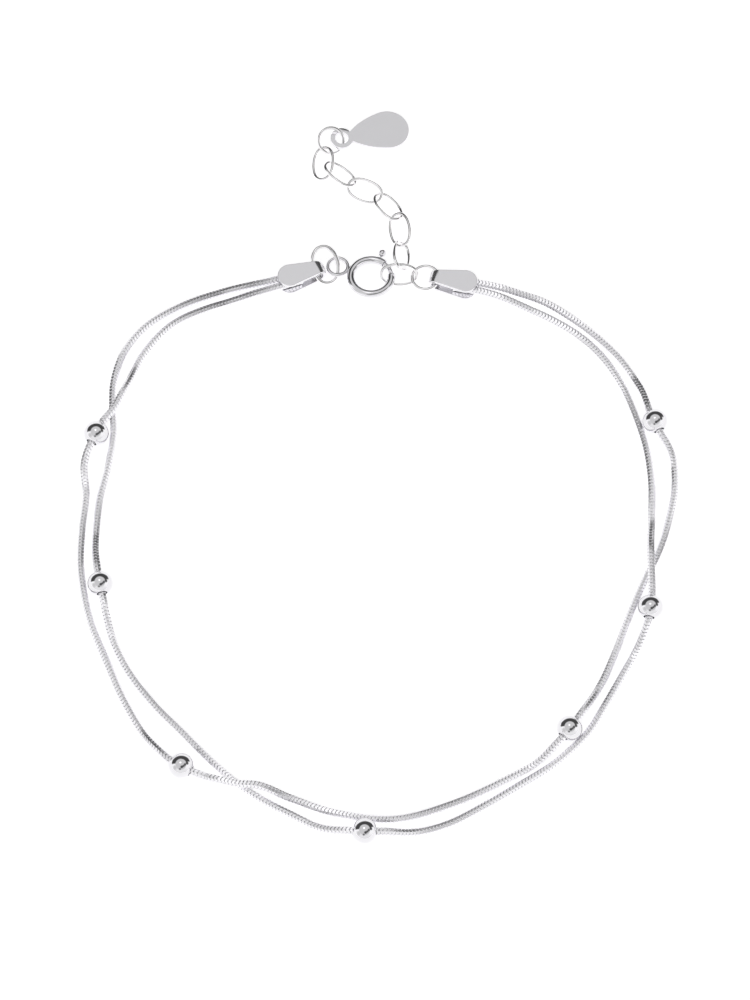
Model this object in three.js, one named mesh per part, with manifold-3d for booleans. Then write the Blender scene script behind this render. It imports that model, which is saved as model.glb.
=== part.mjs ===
// Bracelet of two faceted snake-chain strands with seven round beads, folded end caps,
// a spring-ring clasp and an extension chain with a teardrop tag. Millimetres, +Z up,
// lying on the plane z = 0 with the beads and strands touching it.
import * as THREE from "three";
import Module from "manifold-3d";

const wasm = await Module();
wasm.setup();

// Moves the whole so that the middle of its bounding box's base is the origin
const CENTRING = [-0.39, -3.79, 0];

// Strands
const STRAND_D = 0.8; // across the corners of the section
const STRAND_SIDES = 8;
const STRAND_STEPS = 80;
const STRAND_GAP = 0.1; // between two strands side by side in a cap
const CROSS_GAP = 0.12; // between two strands where one lies over the other
const LIFT_RUN = 4.6; // length over which a lifted strand comes down to the surface
const LIFT_FLAT = 1.4; // half-length of the level stretch at the top of a lift

// Beads
const BEAD_D = 2.5;
const BEAD_CLEARANCE = 0.12; // strand to bore, radial
const BEAD_SIDES = 14;
const BEAD_ARC_STEPS = 7;

// End caps: a strip folded at the narrow end, with the strands between its two plates
const CAP_LENGTH = 5.0;
const CAP_WIDE = 2.45;
const CAP_NARROW = 1.2;
const CAP_SHEET = 0.4;
const CAP_CLEARANCE = 0.2; // strand to sheet
const CAP_ARC_STEPS = 12;
const STRAND_IN_CAP = 2.4; // how far a strand reaches in from the round end

// Spring-ring clasp
const CLASP_D = 5.0;
const CLASP_TUBE = 0.84;
const CLASP_SIDES = 10;
const CLASP_STEPS = 40;
const BOLT_D = 0.5;
const BOLT_SIDES = 8;
const BOLT_STEPS = 16;
const BOLT_CLEARANCE = 0.07;
const BOLT_STOP = 0.05; // bolt tip to the tube's far end
const GAP_FROM = 6; // degrees round the ring, anticlockwise from +X
const GAP_TO = 50;
const LEVER_AT = 67;
const BOLT_TRAVEL = 40;
const BOLT_TAIL = 16; // degrees of bolt behind the lever
const BORE_MARGIN = 4; // degrees of bore beyond the drawn-back bolt, and before its mouth
const SLOT_MARGIN = 5; // degrees of slot beyond the lever at either end
const LEVER_NECK = 0.2;
const KNOB_D = 0.8;
const LEVER_RISE = 15; // degrees the lever leans up out of the ring's plane
const KNOB_STANDOFF = 0.08; // knob to the ring's outside
const EYELET_D = 2.45;
const EYELET_WIRE = 0.4;
const EYELET_AT = 160;
const EYELET_SUNK = 0.1; // how far the eyelet is let into the ring

// Jump rings, links and tag: outer length, outer width, wire
const RING_LEFT = { length: 4.2, width: 3.05, wire: 0.42 };
const RING_RIGHT = { length: 3.1, width: 3.1, wire: 0.38 };
const RING_TAG = { length: 3.0, width: 3.0, wire: 0.34 };
const LINK = { length: 4.0, width: 2.5, wire: 0.33 };
const WIRE_SIDES = 6;
const RING_SIDES = 16;
const TAG_EYE_D = 2.35;
const TAG_EYE_BORE = 1.4;
const TAG_WIDTH = 4.4;
const TAG_LENGTH = 8.3;
const TAG_NECK = 1.15;
const TAG_SHEET = 0.45;
const TAG_ROUND = 100; // degrees of the round end on either side of its tip
const TAG_SWELL = 2.3; // how far the sides lead on from the round end before they turn in
const TAG_ARC_STEPS = 12;

// Where each part of the fastening lies: centre, and turns in degrees. Roll is about the
// part's own length, pitch lifts its far end when negative, heading is about +Z.
const CAP_RIGHT_AT = { x: 9.2, y: 23.75, heading: 169 };
const CAP_LEFT_AT = { x: -8.7, y: 24.4, heading: 18 };
const CLASP_AT = { at: [-0.4, 24.7, 0.97], roll: -6, pitch: 0, heading: 0 };
const RING_LEFT_AT = { at: [-5.08, 26.0, 1.11], roll: 5, pitch: -22.5, heading: 102 };
const RING_RIGHT_AT = { at: [5.15, 24.6, 0.95], roll: -3, pitch: -3, heading: -8 };
const RING_TAG_AT = { at: [-4.55, 40.45, 1.04], roll: 17, pitch: -29, heading: 90 };
const TAG_AT = { at: [-3.45, 40.75, 0.83], roll: -2, pitch: 4.7, heading: 14.5 };
const LINK_AT = [
  { at: [2.45, 24.95, 0.96], roll: 44, pitch: 0, heading: -1 },
  { at: [2.7, 27.05, 1.22], roll: 46, pitch: 20, heading: 84 },
  { at: [2.55, 30.2, 0.78], roll: -28, pitch: 0, heading: 100 },
  { at: [1.35, 32.95, 0.63], roll: 22, pitch: 4, heading: 126 },
  { at: [-1.05, 34.8, 0.62], roll: -22, pitch: 0, heading: 157 },
  { at: [-3.6, 36.65, 0.78], roll: 28, pitch: -4, heading: 140 },
  { at: [-5.35, 38.0, 0.62], roll: -22, pitch: -1, heading: 88 },
];

// Routes of the two strands in plan, from the right cap to the left one. The points are
// chosen by hand: BEAD marks the middle of a bead, OVER a place where it lies on the other.
const BEAD = "bead";
const OVER = "over";
const ROUTE_A = [
  [14.0, 21.9], [17.2, 20.5], [20.5, 18.4], [23.0, 15.9], [25.1, 12.4], [26.4, 8.9],
  [27.3, 5.5], [27.7, 1.8], [27.6, -2.0], [27.4, -5.3], [27.4, -7.8, OVER],
  [27.2, -11.95, BEAD], [26.2, -15.4], [24.2, -19.1], [22.5, -22.1], [20.7, -25.0],
  [17.4, -28.2], [14.4, -30.2], [10.6, -32.5], [7.0, -34.4], [3.6, -35.3],
  [-1.0, -35.4, BEAD], [-4.9, -35.0], [-8.0, -33.5], [-11.1, -31.8], [-13.4, -30.2],
  [-15.7, -28.1], [-18.8, -24.9], [-21.6, -22.0], [-24.2, -18.5], [-25.9, -14.9],
  [-27.2, -9.4, BEAD], [-27.8, -5.2], [-27.5, 0.0], [-26.8, 3.5], [-26.3, 7.4],
  [-26.5, 10.4], [-26.4, 13.2], [-25.4, 16.5], [-23.2, 19.4], [-19.8, 21.6],
  [-15.9, 23.1], [-12.9, 23.7],
];
const ROUTE_B = [
  [14.0, 23.1], [17.0, 22.2], [20.1, 20.2], [23.0, 17.7], [25.1, 15.3], [26.8, 12.3],
  [28.15, 8.3, BEAD], [29.8, 4.9], [30.05, 1.5], [29.3, -2.4], [28.3, -5.5],
  [26.9, -8.5], [25.5, -11.7], [23.5, -16.9], [22.2, -19.8],
  [19.0, -24.75, BEAD], [15.9, -28.0], [12.3, -30.05], [7.5, -32.3], [2.0, -33.85],
  [-4.0, -33.2], [-8.0, -31.8], [-11.2, -30.7], [-13.5, -30.5, OVER],
  [-18.85, -28.65, BEAD], [-22.3, -25.5], [-24.5, -21.8], [-26.4, -17.5],
  [-28.2, -12.9], [-29.2, -7.5], [-29.2, -3.3], [-28.9, 0.5], [-29.15, 3.6],
  [-28.0, 6.95, BEAD], [-26.3, 9.75, OVER], [-25.0, 12.6], [-23.5, 16.1],
  [-20.7, 19.5], [-17.0, 21.4], [-13.2, 22.5],
];

const rad = (degrees) => THREE.MathUtils.degToRad(degrees);
const CAP_HEIGHT = 2 * CAP_SHEET + STRAND_D + 2 * CAP_CLEARANCE;

// A solid of manifold-3d from a three.js geometry, and back.
function solid(geometry) {
  const g = geometry.index ? geometry.toNonIndexed() : geometry;
  const p = g.attributes.position;
  const keys = new Map();
  const points = [];
  const triangles = new Uint32Array(p.count);
  for (let i = 0; i < p.count; i++) {
    const v = [p.getX(i), p.getY(i), p.getZ(i)];
    const key = v.map((c) => Math.round(c * 1e4)).join();
    if (!keys.has(key)) {
      keys.set(key, keys.size);
      points.push(...v);
    }
    triangles[i] = keys.get(key);
  }
  const kept = [];
  for (let i = 0; i < triangles.length; i += 3) {
    const [a, b, c] = triangles.slice(i, i + 3);
    if (a !== b && b !== c && a !== c) kept.push(a, b, c);
  }
  return new wasm.Manifold(
    new wasm.Mesh({
      numProp: 3,
      vertProperties: new Float32Array(points),
      triVerts: new Uint32Array(kept),
    }),
  );
}

function geometryOf(made) {
  const mesh = made.getMesh();
  const g = new THREE.BufferGeometry();
  g.setAttribute("position", new THREE.BufferAttribute(mesh.vertProperties, 3));
  g.setIndex(new THREE.BufferAttribute(mesh.triVerts, 1));
  return g;
}

function named(name, geometry) {
  const mesh = new THREE.Mesh(geometry);
  mesh.name = name;
  return mesh;
}

// Turns a part about its own axes, then sets it at its place.
function place(mesh, { at, roll, pitch, heading }) {
  mesh.rotation.set(rad(roll), rad(pitch), rad(heading), "ZYX");
  mesh.position.set(...at);
  return mesh;
}

function polygonShape(sides, radius) {
  const shape = new THREE.Shape();
  for (let i = 0; i < sides; i++) {
    const a = ((i + 0.5) / sides) * 2 * Math.PI;
    const [x, y] = [radius * Math.cos(a), radius * Math.sin(a)];
    if (i) shape.lineTo(x, y);
    else shape.moveTo(x, y);
  }
  shape.closePath();
  return shape;
}

function tubeAlong(curve, radius, sides, steps) {
  return new THREE.ExtrudeGeometry(polygonShape(sides, radius), {
    steps,
    extrudePath: curve,
    bevelEnabled: false,
  });
}

// Part of a circle round +Z, from one angle to another in degrees.
class ArcCurve extends THREE.Curve {
  constructor(radius, from, to) {
    super();
    Object.assign(this, { radius, from, to });
  }
  getPoint(t, target = new THREE.Vector3()) {
    const a = rad(this.from + (this.to - this.from) * t);
    return target.set(this.radius * Math.cos(a), this.radius * Math.sin(a), 0);
  }
}

class OvalCurve extends THREE.Curve {
  constructor(a, b) {
    super();
    Object.assign(this, { a, b });
  }
  getPoint(t, target = new THREE.Vector3()) {
    const turn = 2 * Math.PI * t;
    return target.set(this.a * Math.cos(turn), this.b * Math.sin(turn), 0);
  }
}

// A closed oval of round wire, its length along X.
function ovalGeometry({ length, width, wire }) {
  const curve = new OvalCurve((length - wire) / 2, (width - wire) / 2);
  return new THREE.TubeGeometry(curve, RING_SIDES, wire / 2, WIRE_SIDES, true);
}

// End cap, in its own frame: round end's centre at the origin, narrow end along +X,
// underside on z = 0.
function capGeometry() {
  const wideR = CAP_WIDE / 2;
  const tip = CAP_LENGTH - wideR;
  const lean = Math.atan2(wideR - CAP_NARROW / 2, tip);
  const outline = new THREE.Shape();
  outline.moveTo(tip, -CAP_NARROW / 2);
  outline.lineTo(tip, CAP_NARROW / 2);
  for (let i = 0; i <= CAP_ARC_STEPS; i++) {
    const a = Math.PI / 2 - lean + (i / CAP_ARC_STEPS) * (Math.PI + 2 * lean);
    outline.lineTo(wideR * Math.cos(a), wideR * Math.sin(a));
  }
  outline.closePath();
  const block = new THREE.ExtrudeGeometry(outline, {
    depth: CAP_HEIGHT,
    bevelEnabled: false,
  });

  const outerR = CAP_HEIGHT / 2;
  const innerR = outerR - CAP_SHEET;
  const bendX = tip - outerR;
  const fold = new THREE.Shape();
  fold.moveTo(-CAP_WIDE, 0);
  fold.lineTo(bendX, 0);
  fold.absarc(bendX, outerR, outerR, -Math.PI / 2, Math.PI / 2, false);
  fold.lineTo(-CAP_WIDE, CAP_HEIGHT);
  fold.lineTo(-CAP_WIDE, CAP_HEIGHT - CAP_SHEET);
  fold.lineTo(bendX, CAP_HEIGHT - CAP_SHEET);
  fold.absarc(bendX, outerR, innerR, Math.PI / 2, -Math.PI / 2, true);
  fold.lineTo(-CAP_WIDE, CAP_SHEET);
  fold.closePath();
  const strip = new THREE.ExtrudeGeometry(fold, {
    depth: 2 * CAP_WIDE,
    curveSegments: CAP_ARC_STEPS / 2,
    bevelEnabled: false,
  });
  strip.translate(0, 0, -CAP_WIDE);
  strip.rotateX(Math.PI / 2);
  return geometryOf(solid(block).intersect(solid(strip)));
}

function makeCap(name, { x, y, heading }) {
  return place(named(name, capGeometry()), { at: [x, y, 0], roll: 0, pitch: 0, heading });
}

// The two points that lead a strand out of a cap, on the given side of its length.
function capLead({ x, y, heading }, side) {
  const across = (side * (STRAND_D + STRAND_GAP)) / 2;
  const reach = CAP_WIDE / 2;
  return [STRAND_IN_CAP - reach, -reach - STRAND_D].map((along) =>
    new THREE.Vector3(along, across, 0)
      .applyAxisAngle(new THREE.Vector3(0, 0, 1), rad(heading))
      .add(new THREE.Vector3(x, y, 0)),
  );
}

// A strand's centre line: a smooth route in plan, lifted off the surface near some places.
class StrandCurve extends THREE.Curve {
  constructor(points, lifts) {
    super();
    this.plan = new THREE.CatmullRomCurve3(points, false, "centripetal");
    this.lifts = lifts;
  }
  getPoint(t, target = new THREE.Vector3()) {
    this.plan.getPoint(t, target);
    const rises = this.lifts.map(({ x, y, height }) => {
      const away = (Math.hypot(target.x - x, target.y - y) - LIFT_FLAT) / LIFT_RUN;
      const turn = Math.PI * THREE.MathUtils.clamp(away, 0, 1);
      return ((height - STRAND_D / 2) * (1 + Math.cos(turn))) / 2;
    });
    target.z = STRAND_D / 2 + Math.max(...rises);
    return target;
  }
}

// The strand's centre line, and the places and headings of its beads.
function layStrand(route, rightLead, leftLead) {
  const flat = (x, y) => new THREE.Vector3(x, y, 0);
  const points = [...rightLead];
  const beads = [];
  const lifts = [...rightLead, ...leftLead].map(({ x, y }) => ({ x, y, height: CAP_HEIGHT / 2 }));
  route.forEach(([x, y, mark], i) => {
    if (mark === OVER) lifts.push({ x, y, height: STRAND_D * 1.5 + CROSS_GAP });
    if (mark !== BEAD) {
      points.push(flat(x, y));
      return;
    }
    const [before, after] = [flat(...route[i - 1]), flat(...route[i + 1])];
    const along = after.sub(before).setZ(0).setLength(BEAD_D / 2);
    for (const side of [-1, 0, 1]) points.push(flat(x, y).addScaledVector(along, side));
    lifts.push({ x, y, height: BEAD_D / 2 });
    beads.push({ x, y, heading: THREE.MathUtils.radToDeg(Math.atan2(along.y, along.x)) });
  });
  points.push(...leftLead.toReversed());
  return { curve: new StrandCurve(points, lifts), beads };
}

function makeStrand(name, curve) {
  return named(name, tubeAlong(curve, STRAND_D / 2, STRAND_SIDES, STRAND_STEPS));
}

// A drilled ball, its bore along X.
function beadGeometry() {
  const r = BEAD_D / 2;
  const bore = STRAND_D / 2 + BEAD_CLEARANCE;
  const end = Math.asin(bore / r);
  const profile = [];
  for (let i = 0; i <= BEAD_ARC_STEPS; i++) {
    const a = end + (i / BEAD_ARC_STEPS) * (Math.PI - 2 * end);
    profile.push(new THREE.Vector2(r * Math.sin(a), -r * Math.cos(a)));
  }
  profile.push(profile[0].clone());
  return new THREE.LatheGeometry(profile, BEAD_SIDES).rotateZ(-Math.PI / 2);
}

function makeBead(name, { x, y, heading }) {
  return place(named(name, beadGeometry()), {
    at: [x, y, BEAD_D / 2],
    roll: 0,
    pitch: 0,
    heading,
  });
}

const claspR = (CLASP_D - CLASP_TUBE) / 2;

// A block that covers the ring's outer side between two angles, about the given height.
function slotBlock(from, to, width, height) {
  const shape = new THREE.Shape();
  shape.absarc(0, 0, CLASP_D, rad(from), rad(to), false);
  shape.absarc(0, 0, claspR, rad(to), rad(from), true);
  shape.closePath();
  const g = new THREE.ExtrudeGeometry(shape, { depth: width, bevelEnabled: false });
  return solid(g.translate(0, 0, height - width / 2));
}

function claspBodyGeometry() {
  const ring = new ArcCurve(claspR, GAP_TO, GAP_FROM + 360);
  const tube = tubeAlong(ring, CLASP_TUBE / 2, CLASP_SIDES, CLASP_STEPS);
  const boreR = BOLT_D / 2 + BOLT_CLEARANCE;
  const boreEnd = LEVER_AT + BOLT_TAIL + BOLT_TRAVEL + BORE_MARGIN;
  const drill = new ArcCurve(claspR, GAP_TO - BORE_MARGIN, boreEnd);
  const bore = tubeAlong(drill, boreR, CLASP_SIDES, BOLT_STEPS);
  const slot = slotBlock(
    LEVER_AT - SLOT_MARGIN,
    LEVER_AT + BOLT_TRAVEL + SLOT_MARGIN,
    LEVER_NECK + 2 * BOLT_CLEARANCE,
    (CLASP_TUBE / 2) * Math.sin(rad(LEVER_RISE)),
  );
  const eyeletR = (EYELET_D - EYELET_WIRE) / 2;
  const out = CLASP_D / 2 + EYELET_D / 2 - EYELET_SUNK;
  const eyelet = new THREE.TorusGeometry(eyeletR, EYELET_WIRE / 2, BOLT_SIDES, RING_SIDES);
  eyelet.translate(out, 0, 0).rotateZ(rad(EYELET_AT));
  return geometryOf(solid(tube).add(solid(eyelet)).subtract(solid(bore)).subtract(slot));
}

// The sliding bolt with its thumb lever, in the clasp's frame.
function claspBoltGeometry() {
  const tip = GAP_FROM + THREE.MathUtils.radToDeg(BOLT_STOP / claspR);
  const path = new ArcCurve(claspR, tip, LEVER_AT + BOLT_TAIL);
  const rod = tubeAlong(path, BOLT_D / 2, BOLT_SIDES, BOLT_STEPS);
  const reach = CLASP_TUBE / 2 + KNOB_STANDOFF + KNOB_D / 2;
  const onRing = (g) => g.rotateY(-rad(LEVER_RISE)).translate(claspR, 0, 0).rotateZ(rad(LEVER_AT));
  const neck = new THREE.CylinderGeometry(LEVER_NECK / 2, LEVER_NECK / 2, reach, BOLT_SIDES);
  neck.rotateZ(Math.PI / 2).translate(reach / 2, 0, 0);
  const knob = new THREE.SphereGeometry(KNOB_D / 2, CLASP_SIDES, BOLT_SIDES);
  knob.rotateX(Math.PI / 2).translate(reach, 0, 0);
  return geometryOf(solid(rod).add(solid(onRing(neck))).add(solid(onRing(knob))));
}

// Teardrop tag: eye's centre at the origin, plate along +X, mid-thickness on z = 0.
function tagGeometry() {
  const eyeR = TAG_EYE_D / 2;
  const wideR = TAG_WIDTH / 2;
  const wideX = TAG_LENGTH - eyeR - wideR;
  const neckX = Math.sqrt(eyeR ** 2 - (TAG_NECK / 2) ** 2);
  const turn = rad(TAG_ROUND);
  const end = new THREE.Vector2(wideX + wideR * Math.cos(turn), wideR * Math.sin(turn));
  const swell = new THREE.Vector2(-Math.sin(turn), Math.cos(turn)).setLength(TAG_SWELL).add(end);
  const outline = new THREE.Shape();
  const eyeTurn = Math.asin(TAG_NECK / 2 / eyeR);
  outline.absarc(0, 0, eyeR, eyeTurn, 2 * Math.PI - eyeTurn, false);
  outline.quadraticCurveTo(swell.x, -swell.y, end.x, -end.y);
  outline.absarc(wideX, 0, wideR, -turn, turn, false);
  outline.quadraticCurveTo(swell.x, swell.y, neckX, TAG_NECK / 2);
  outline.closePath();
  const eye = new THREE.Path();
  eye.absarc(0, 0, TAG_EYE_BORE / 2, 0, 2 * Math.PI, true);
  outline.holes.push(eye);
  const g = new THREE.ExtrudeGeometry(outline, {
    depth: TAG_SHEET,
    curveSegments: TAG_ARC_STEPS,
    bevelEnabled: false,
  });
  return g.translate(0, 0, -TAG_SHEET / 2);
}

const bracelet = new THREE.Group();
bracelet.name = "bracelet";
bracelet.position.set(...CENTRING);

const strandA = layStrand(ROUTE_A, capLead(CAP_RIGHT_AT, 1), capLead(CAP_LEFT_AT, 1));
const strandB = layStrand(ROUTE_B, capLead(CAP_RIGHT_AT, -1), capLead(CAP_LEFT_AT, -1));
bracelet.add(makeStrand("strand_a", strandA.curve), makeStrand("strand_b", strandB.curve));
strandA.beads.forEach((b, i) => bracelet.add(makeBead(`bead_a${i + 1}`, b)));
strandB.beads.forEach((b, i) => bracelet.add(makeBead(`bead_b${i + 1}`, b)));
bracelet.add(makeCap("cap_right", CAP_RIGHT_AT), makeCap("cap_left", CAP_LEFT_AT));
bracelet.add(place(named("clasp_body", claspBodyGeometry()), CLASP_AT));
bracelet.add(place(named("clasp_bolt", claspBoltGeometry()), CLASP_AT));
bracelet.add(place(named("jump_ring_left", ovalGeometry(RING_LEFT)), RING_LEFT_AT));
bracelet.add(place(named("jump_ring_right", ovalGeometry(RING_RIGHT)), RING_RIGHT_AT));
bracelet.add(place(named("jump_ring_tag", ovalGeometry(RING_TAG)), RING_TAG_AT));
LINK_AT.forEach((pose, i) =>
  bracelet.add(place(named(`link_${i + 1}`, ovalGeometry(LINK)), pose)),
);
bracelet.add(place(named("tag", tagGeometry()), TAG_AT));

export default bracelet;
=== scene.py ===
# %% [markdown]
# # A silver bracelet of two snake chains
# The bracelet lies on a white table: two fine snake chains that cross, seven round beads,
# folded end caps, a spring-ring clasp and a short chain with a teardrop tag. The solids of
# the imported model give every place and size. This script gives each of them its real
# surface: rounded edges, true circles, the plates of the snake chain and polished metal.

import math

import bmesh
import bpy
from mathutils import Matrix, Vector


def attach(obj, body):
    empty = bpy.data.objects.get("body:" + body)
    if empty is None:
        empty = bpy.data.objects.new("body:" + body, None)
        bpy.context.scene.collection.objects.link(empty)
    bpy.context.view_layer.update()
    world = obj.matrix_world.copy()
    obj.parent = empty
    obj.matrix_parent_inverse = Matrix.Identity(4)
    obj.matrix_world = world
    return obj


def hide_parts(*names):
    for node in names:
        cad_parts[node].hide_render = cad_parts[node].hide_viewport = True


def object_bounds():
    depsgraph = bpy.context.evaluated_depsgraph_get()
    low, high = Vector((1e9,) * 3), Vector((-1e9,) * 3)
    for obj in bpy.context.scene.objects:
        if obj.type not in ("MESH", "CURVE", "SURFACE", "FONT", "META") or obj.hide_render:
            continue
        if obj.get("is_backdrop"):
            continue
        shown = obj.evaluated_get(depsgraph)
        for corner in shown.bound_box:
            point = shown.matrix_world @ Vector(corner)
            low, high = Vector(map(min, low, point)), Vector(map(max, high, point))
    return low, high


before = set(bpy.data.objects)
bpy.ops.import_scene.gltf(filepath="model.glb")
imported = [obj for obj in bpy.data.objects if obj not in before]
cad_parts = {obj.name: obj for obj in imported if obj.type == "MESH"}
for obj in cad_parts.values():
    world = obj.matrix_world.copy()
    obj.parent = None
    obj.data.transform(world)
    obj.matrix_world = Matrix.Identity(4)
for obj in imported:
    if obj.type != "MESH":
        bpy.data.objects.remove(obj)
cad_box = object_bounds()

# %% [markdown]
# ## One frame for everything
# Sizes are written in millimetres, as a jeweller writes them, and Blender works in metres.
# Places are given from the middle of the photograph, and `CENTRING` moves them to the
# bracelet's own origin, which is the middle of the box around it, on the table.

# %% Units and places
MM = 0.001
CENTRING = Vector((-0.39, -3.79, 0))


def on_table(x, y, z=0.0):
    """A place on the table, in metres."""
    return (Vector((x, y, z)) + CENTRING) * MM


# %% [markdown]
# ## The camera
# The photograph looks down at 66 degrees from the side of the beads. Its far and near ends
# have nearly the same scale, so it was taken with a long lens from about half a metre.

# %% Camera
VIEW_ELEVATION = math.radians(66)
VIEW_DISTANCE = 450 * MM
LENS_MM = 162  # ten pixels to a millimetre at that distance

towards_camera = Vector((0, -math.cos(VIEW_ELEVATION), math.sin(VIEW_ELEVATION)))
bpy.ops.object.camera_add(location=on_table(0, 0, 0.4) + towards_camera * VIEW_DISTANCE)
camera = bpy.context.object
camera.rotation_euler = (-towards_camera).to_track_quat("-Z", "Y").to_euler()
camera.data.lens = LENS_MM
camera.data.clip_start, camera.data.clip_end = 0.01, 50
bpy.context.scene.camera = camera
print("camera at", [round(c / MM) for c in camera.location], "mm")

# %% [markdown]
# ## Tools for the bench
# Every piece starts as a primitive. Blender's operators act on whatever is selected, so one
# helper takes a piece alone into edit mode, and another selects only the corners, edges or
# faces that pass a test. Another applies each modifier as soon as it is added, and a last one
# finishes a piece: it turns the piece, sets it down in its place and writes both into the mesh.

# %% Bench tools


def alone(piece):
    """Selects a piece and nothing else."""
    if bpy.context.mode != "OBJECT":
        bpy.ops.object.mode_set(mode="OBJECT")
    bpy.ops.object.select_all(action="DESELECT")
    piece.select_set(True)
    bpy.context.view_layer.objects.active = piece
    return piece


def edit(piece):
    alone(piece)
    bpy.ops.object.mode_set(mode="EDIT")


def pick(piece, kind, test):
    """In edit mode, selects the parts of one kind (VERT, EDGE or FACE) that pass a test."""
    bpy.ops.mesh.select_mode(type=kind)
    bpy.ops.mesh.select_all(action="DESELECT")
    mesh = bmesh.from_edit_mesh(piece.data)
    parts = {"VERT": mesh.verts, "EDGE": mesh.edges, "FACE": mesh.faces}[kind]
    for part in [part for part in parts if test(part)]:
        part.select_set(True)
    mesh.select_flush_mode()
    bmesh.update_edit_mesh(piece.data)


def leave_edit():
    bpy.ops.object.mode_set(mode="OBJECT")


def modify(piece, kind, **settings):
    """Adds a modifier with its settings and applies it at once."""
    alone(piece)
    modifier = piece.modifiers.new(kind.lower(), kind)
    for name, value in settings.items():
        setattr(modifier, name, value)
    bpy.ops.object.modifier_apply(modifier=modifier.name)


def remove(*pieces):
    for piece in pieces:
        bpy.data.objects.remove(piece)


def named(piece, name):
    piece.name = piece.data.name = name
    return piece


def smooth(piece, degrees):
    alone(piece)
    bpy.ops.object.shade_smooth_by_angle(angle=math.radians(degrees))


def soften(piece, width, segments, degrees):
    """Rounds every edge that turns by more than the given angle."""
    turn = math.radians(degrees)
    modify(
        piece,
        "BEVEL",
        width=width * MM,
        segments=segments,
        limit_method="ANGLE",
        angle_limit=turn,
    )


def flatten(piece):
    """Keeps big flat faces flat to the light: a soft edge beside them takes up the turn."""
    modify(piece, "WEIGHTED_NORMAL", weight=100, keep_sharp=True)


def outward(piece):
    """Merges doubled corners and turns every face to the outside."""
    edit(piece)
    bpy.ops.mesh.select_all(action="SELECT")
    bpy.ops.mesh.remove_doubles(threshold=1e-7)
    bpy.ops.mesh.normals_make_consistent(inside=False)
    leave_edit()


def settle():
    """Writes the place, turn and scale of what is selected into its mesh."""
    bpy.ops.object.transform_apply(location=True, rotation=True, scale=True)


def set_down(piece, at, roll=0, pitch=0, heading=0):
    """Turns a piece about its own axes, sets it on its place and applies both."""
    alone(piece)
    piece.rotation_euler = [math.radians(a) for a in (roll, pitch, heading)]
    piece.location = on_table(*at)
    settle()
    return piece


def twin(piece, name):
    """A copy with a mesh of its own."""
    copy = piece.copy()
    copy.data = piece.data.copy()
    bpy.context.scene.collection.objects.link(copy)
    return named(copy, name)


# %% [markdown]
# ## Metals
# The bracelet is sterling silver under a thin rhodium plating, which keeps it bright and a
# little bluer than bare silver. Three finishes show. Wire, beads and clasp are tumbled to a
# mirror, and the beads and the clasp have a thicker, greyer plating than the wire. Caps and
# tag are stamped from rolled sheet, which keeps a very fine grain. The snake chain's plates
# are cut and polished, with painted shade in the seams between them. All are one Principled
# shader with metallic 1 and its usual IOR, and differ in colour, roughness and relief.

# %% A helper for shader nodes, and colours


def add(tree, kind, inputs=None, **settings):
    """Adds a node with its settings, its values and its links."""
    node = tree.nodes.new(kind)
    for name, value in settings.items():
        setattr(node, name, value)
    for name, value in (inputs or {}).items():
        if isinstance(value, bpy.types.NodeSocket):
            tree.links.new(value, node.inputs[name])
        else:
            node.inputs[name].default_value = value
    return node


def linear(hex_colour):
    """An sRGB hex colour as Blender's linear one."""
    channels = [int(hex_colour[i : i + 2], 16) / 255 for i in (1, 3, 5)]
    return [c / 12.92 if c < 0.04045 else ((c + 0.055) / 1.055) ** 2.4 for c in channels] + [1]


def new_material(name):
    material = bpy.data.materials.new(name)
    material.use_nodes = True
    material.node_tree.nodes.clear()
    return material, material.node_tree


# %% [markdown]
# ### Tumbled silver
# Tumbling leaves a mirror with the faintest orange-peel waviness, about 0.3 mm across. It
# is what makes a reflection in a small bead waver at its edges.

# %% Tumbled silver
WAVE_MM = 0.3


def mirror_metal(name, colour):
    """A tumbled mirror of the given colour."""
    material, tree = new_material(name)
    place = add(tree, "ShaderNodeTexCoord").outputs["Object"]
    scale = 1 / (WAVE_MM * MM)
    waves = add(tree, "ShaderNodeTexNoise", {"Vector": place, "Scale": scale, "Detail": 2})
    height = waves.outputs["Fac"]
    relief = add(
        tree, "ShaderNodeBump", {"Height": height, "Strength": 0.05, "Distance": 0.02 * MM}
    )
    haze = add(
        tree,
        "ShaderNodeMapRange",
        {"Value": height, "From Min": 0.3, "From Max": 0.7, "To Min": 0.05, "To Max": 0.11},
    )
    metal = add(
        tree,
        "ShaderNodeBsdfPrincipled",
        {
            "Base Color": linear(colour),
            "Metallic": 1.0,
            "Roughness": haze.outputs["Result"],
            "Normal": relief.outputs["Normal"],
        },
    )
    add(tree, "ShaderNodeOutputMaterial", {"Surface": metal.outputs["BSDF"]})
    return material


plated_silver = mirror_metal("plated_silver", "#EAE9EC")
bright_silver = mirror_metal("bright_silver", "#FAF9FA")

# %% [markdown]
# ### Rolled sheet
# Sheet comes from the rolling mill with lines along its length, far finer than the picture
# can show: they are drawn 0.08 mm apart, as coarse as they need to be to catch the light.

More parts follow.
